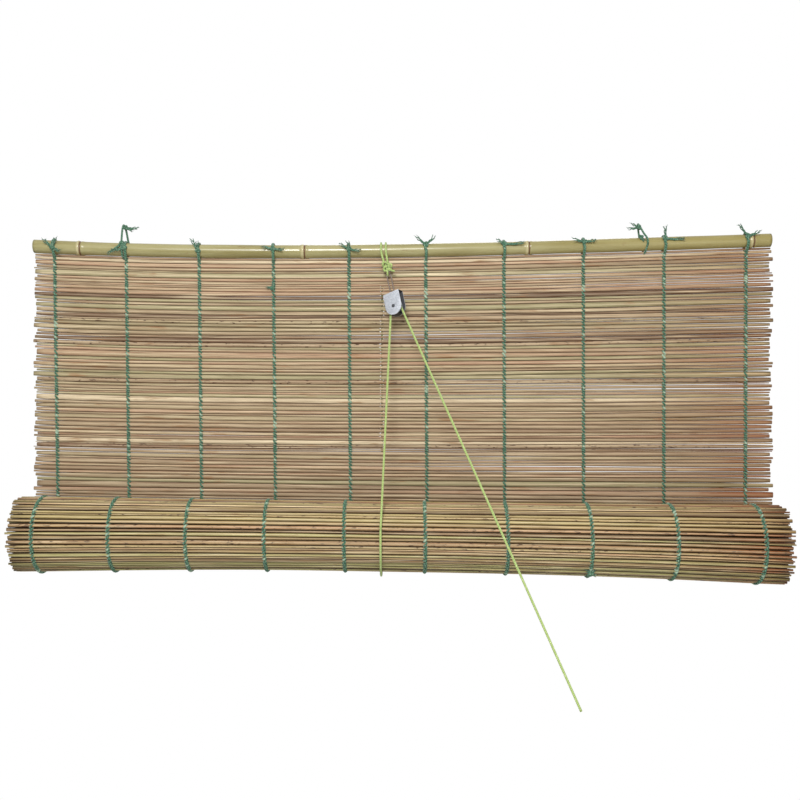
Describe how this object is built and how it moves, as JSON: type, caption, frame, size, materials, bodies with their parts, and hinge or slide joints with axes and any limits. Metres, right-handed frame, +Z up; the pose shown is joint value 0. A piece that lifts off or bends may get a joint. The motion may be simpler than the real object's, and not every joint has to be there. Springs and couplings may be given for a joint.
{
  "type": "roll-up reed blind",
  "caption": "Cord-operated roll-up blind of thin reeds lashed with twine, hung from a bamboo head pole, with a pulley block on the lift cord.",
  "frame": {"origin": "midway between the bearing points of the two twine loops that hang the blind on its nails", "axes": "+X to the right along the pole, -Y towards the room, +Z up"},
  "size_m": [0.996, 0.3184, 0.5644],
  "materials": {
    "bamboo": "satin natural bamboo skin",
    "mat_reed": "dry reed, matt",
    "roll_reed": "dry reed, matt",
    "green_twine": "twisted twine, matt",
    "lime_cord": "braided cord, slight sheen",
    "steel_wire": "drawn wire",
    "galvanised_sheet": "galvanised, dull spangle",
    "sheave_metal": "dull turned steel"
  },
  "bodies": {
    "head": {"head_pole": "bamboo", "first_reed": "mat_reed", "pole_tie_01": "green_twine", "pole_tie_02": "green_twine", "pole_tie_03": "green_twine", "pole_tie_04": "green_twine", "pole_tie_05": "green_twine", "pole_tie_06": "green_twine", "pole_tie_07": "green_twine", "pole_tie_08": "green_twine", "pole_tie_09": "green_twine", "pole_tie_10": "green_twine", "hanging_loop_left": "green_twine", "hanging_loop_right": "green_twine", "cord_hitch": "lime_cord", "reed_band_01": "mat_reed", "reed_band_02": "mat_reed", "reed_band_03": "mat_reed", "reed_band_04": "mat_reed", "reed_band_05": "mat_reed", "reed_band_06": "mat_reed", "reed_band_07": "mat_reed", "warp_twine_01": "green_twine", "warp_twine_02": "green_twine", "warp_twine_03": "green_twine", "warp_twine_04": "green_twine", "warp_twine_05": "green_twine", "warp_twine_06": "green_twine", "warp_twine_07": "green_twine", "warp_twine_08": "green_twine", "warp_twine_09": "green_twine", "warp_twine_10": "green_twine", "rear_fall": "lime_cord", "front_fall": "lime_cord"},
    "sling": {"roll_sling": "lime_cord", "entry_band": "mat_reed"},
    "roll": {"rolled_mat": "roll_reed", "roll_twine_01": "green_twine", "roll_twine_02": "green_twine", "roll_twine_03": "green_twine", "roll_twine_04": "green_twine", "roll_twine_05": "green_twine", "roll_twine_06": "green_twine", "roll_twine_07": "green_twine", "roll_twine_08": "green_twine", "roll_twine_09": "green_twine", "roll_twine_10": "green_twine", "core_slat": "bamboo"},
    "block": {"bail_wire": "steel_wire", "block_shell": "galvanised_sheet", "block_rivet": "steel_wire", "sheave_cord": "lime_cord", "pull_tail": "lime_cord"},
    "sheave": {"sheave": "sheave_metal"}
  },
  "joints": [
    {"name": "roll_lift", "type": "slide", "parent": "head", "child": "sling", "axis": [0, 0, 1], "range_m": [0, 0.14], "deforming": ["reed_band_01", "reed_band_02", "reed_band_03", "reed_band_04", "reed_band_05", "reed_band_06", "reed_band_07", "warp_twine_01", "warp_twine_02", "warp_twine_03", "warp_twine_04", "warp_twine_05", "warp_twine_06", "warp_twine_07", "warp_twine_08", "warp_twine_09", "warp_twine_10", "front_fall", "rear_fall"]},
    {"name": "roll_turn", "type": "hinge", "parent": "sling", "child": "roll", "pos_m": [0.0245, -0.0555, -0.408], "axis": [0.9999, -0.0026, -0.0134], "range_deg": [-180, 10]},
    {"name": "block_swing", "type": "hinge", "parent": "head", "child": "block", "pos_m": [0.0088, -0.0115, -0.06222], "axis": [0, 1, 0], "range_deg": [-8, 8]},
    {"name": "sheave_spin", "type": "hinge", "parent": "block", "child": "sheave", "pos_m": [0.01841, -0.02652, -0.10743], "axis": [0.5159, 0.8397, -0.1693], "continuous": true}
  ],
  "couplings": [
    {"joint": "roll_turn", "follows": "roll_lift", "rad_per_m": -19.802},
    {"joint": "sheave_spin", "follows": "roll_lift", "rad_per_m": 246.9}
  ]
}
